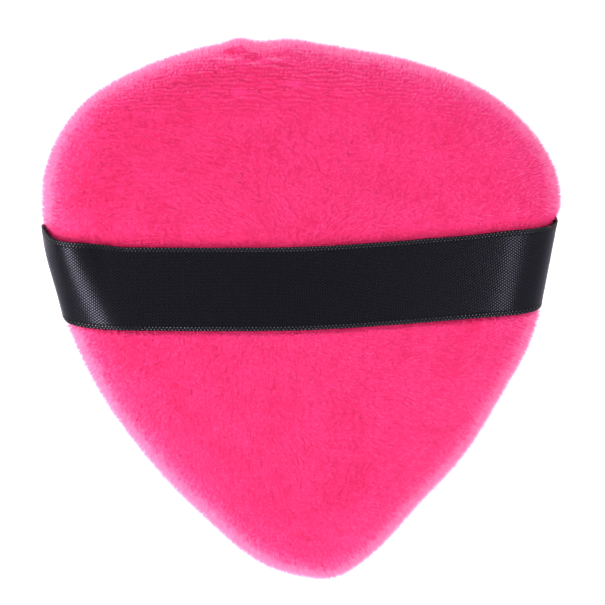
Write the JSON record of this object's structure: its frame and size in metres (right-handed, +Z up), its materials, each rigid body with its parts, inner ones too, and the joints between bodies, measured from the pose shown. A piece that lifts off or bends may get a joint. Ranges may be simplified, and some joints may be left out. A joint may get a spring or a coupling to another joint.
{
  "type": "powder puff",
  "caption": "Flat rounded-triangle velour powder puff with a foam filling and a satin ribbon strap across its back for the fingers.",
  "frame": {"origin": "on the table under the middle of the puff's box", "axes": "+Z up out of the back that carries the strap, +Y from the narrow tip to the wide end, +X along the strap"},
  "size_m": [0.0801, 0.0828, 0.0169],
  "materials": {
    "velour": "hot pink knitted velour with a short dense pile",
    "satin_ribbon": "black satin ribbon with woven edges",
    "foam": "soft open-cell polyurethane foam",
    "thread": "pink polyester sewing thread"
  },
  "bodies": {
    "root": {"back_cover": "velour", "face_cover": "velour", "foam_core": "foam", "finger_strap": "satin_ribbon", "seam_needle_thread": "thread", "seam_bobbin_thread": "thread", "closing_thread": "thread"}
  },
  "joints": []
}
